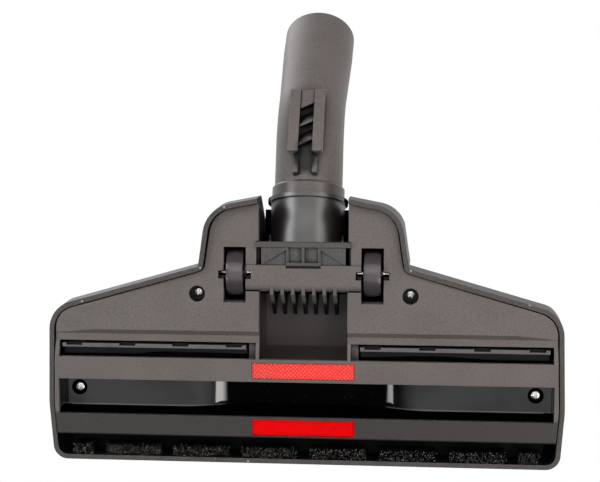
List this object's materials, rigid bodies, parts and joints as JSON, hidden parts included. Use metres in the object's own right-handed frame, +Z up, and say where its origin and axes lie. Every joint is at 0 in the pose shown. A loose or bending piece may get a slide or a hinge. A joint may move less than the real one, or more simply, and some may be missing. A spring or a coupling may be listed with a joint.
{
  "type": "vacuum floor brush head",
  "caption": "Wide floor head for a vacuum cleaner, with suction channel, red lint pickers, wheels, pedal-lowered brush and a swivelling tube elbow.",
  "frame": {"origin": "on the floor plane under the middle of the rear land, on the centre line of the sole", "axes": "+Z up from the floor, -Y towards the front edge with the brush, +Y towards the tube, X along the width"},
  "size_m": [0.2814, 0.2455, 0.1208],
  "materials": {
    "textured_plastic": "fine spark-eroded grain, satin",
    "polished_plastic": "polished",
    "wheel_plastic": "smooth satin",
    "steel": "zinc plated",
    "rubber": "matte",
    "pile": "short slanted pile",
    "bristle": "fine nylon bristle"
  },
  "bodies": {
    "head": {"upper_housing": "textured_plastic", "sole_plate": "textured_plastic", "air_channel": "polished_plastic", "lint_picker_front": "pile", "lint_picker_rear": "pile", "housing_screws": "steel", "pivot_clip": "textured_plastic", "axle_left": "steel", "axle_right": "steel", "pedal_pin": "steel", "detent_spring": "steel"},
    "neck": {"neck": "polished_plastic"},
    "elbow": {"elbow": "textured_plastic", "swivel_collar": "textured_plastic", "swivel_seal": "rubber"},
    "wheel_left": {"wheel_left": "wheel_plastic"},
    "wheel_right": {"wheel_right": "wheel_plastic"},
    "pedal": {"foot_pedal": "textured_plastic"},
    "carriage": {"brush_carriage": "textured_plastic", "bristle_tufts": "bristle", "rubber_lip_left": "rubber", "rubber_lip_right": "rubber"}
  },
  "joints": [
    {"name": "neck_tilt", "type": "hinge", "parent": "head", "child": "neck", "pos_m": [0, 0.065, 0.027], "axis": [1, 0, 0], "range_deg": [0, 55]},
    {"name": "elbow_swivel", "type": "hinge", "parent": "neck", "child": "elbow", "pos_m": [0, 0.065, 0.027], "axis": [0, 0.9397, 0.342], "continuous": true},
    {"name": "wheel_left_spin", "type": "hinge", "parent": "head", "child": "wheel_left", "pos_m": [-0.0373, 0.05225, 0.01275], "axis": [1, 0, 0], "continuous": true},
    {"name": "wheel_right_spin", "type": "hinge", "parent": "head", "child": "wheel_right", "pos_m": [0.0373, 0.05225, 0.01275], "axis": [1, 0, 0], "continuous": true},
    {"name": "pedal_rock", "type": "hinge", "parent": "head", "child": "pedal", "pos_m": [0, 0.0266, 0.025], "axis": [1, 0, 0], "range_deg": [0, 18]},
    {"name": "brush_lift", "type": "slide", "parent": "head", "child": "carriage", "axis": [0, 0, 1], "range_m": [-0.005, 0]}
  ],
  "couplings": [
    {"joint": "pedal_rock", "follows": "brush_lift", "rad_per_m": -62.757}
  ]
}
